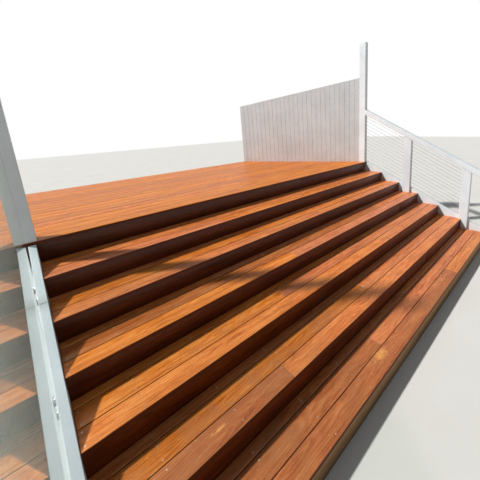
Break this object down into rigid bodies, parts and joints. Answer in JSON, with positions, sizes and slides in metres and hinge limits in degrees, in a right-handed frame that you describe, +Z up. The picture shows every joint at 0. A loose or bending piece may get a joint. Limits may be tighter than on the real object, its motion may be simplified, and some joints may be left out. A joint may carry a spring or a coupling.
{
  "type": "timber deck stairs",
  "caption": "Wide timber deck stairs with boarded treads and closed risers, a boarded deck, a wire guard with a timber handrail, a glass side panel and a slanted screen.",
  "frame": {"origin": "on the ground, at the centre of the plan's bounding box", "axes": "+Z up; +Y runs up the stairs to the house; +X to the right of someone who climbs, along the treads"},
  "size_m": [5.402, 5.15, 3.633],
  "materials": {
    "oiled_merbau": "oiled hardwood, satin",
    "white_timber": "white exterior paint on timber, satin",
    "framing_pine": "treated pine, sawn, matt",
    "stainless_wire": "stranded stainless wire",
    "clear_glass": "clear toughened glass, greenish at the edges",
    "steel_fixings": "brushed stainless steel"
  },
  "bodies": {
    "root": {"tread_1": "oiled_merbau", "tread_2": "oiled_merbau", "tread_3": "oiled_merbau", "tread_4": "oiled_merbau", "tread_5": "oiled_merbau", "tread_6": "oiled_merbau", "riser_1": "oiled_merbau", "riser_2": "oiled_merbau", "riser_3": "oiled_merbau", "riser_4": "oiled_merbau", "riser_5": "oiled_merbau", "riser_6": "oiled_merbau", "deck_fascia": "oiled_merbau", "step_blocks_1": "framing_pine", "step_blocks_2": "framing_pine", "step_blocks_3": "framing_pine", "step_blocks_4": "framing_pine", "step_blocks_5": "framing_pine", "step_blocks_6": "framing_pine", "carriages": "framing_pine", "left_side_board": "white_timber", "right_side_board": "white_timber", "deck_boards_front": "oiled_merbau", "deck_boards_middle": "oiled_merbau", "deck_boards_back": "oiled_merbau", "deck_frame": "framing_pine", "bearer_front": "framing_pine", "bearer_middle": "framing_pine", "bearer_back": "framing_pine", "stumps": "framing_pine", "tall_post_left": "white_timber", "tall_post_right": "white_timber", "middle_post": "white_timber", "lower_post": "white_timber", "handrail": "white_timber", "wires_upper": "stainless_wire", "wires_lower": "stainless_wire", "glass_panel": "clear_glass", "glass_fixings": "steel_fixings", "screen_boards": "white_timber", "screen_rails": "white_timber", "screen_post_front": "white_timber", "screen_post_middle": "white_timber", "screen_post_back": "white_timber"}
  },
  "joints": []
}
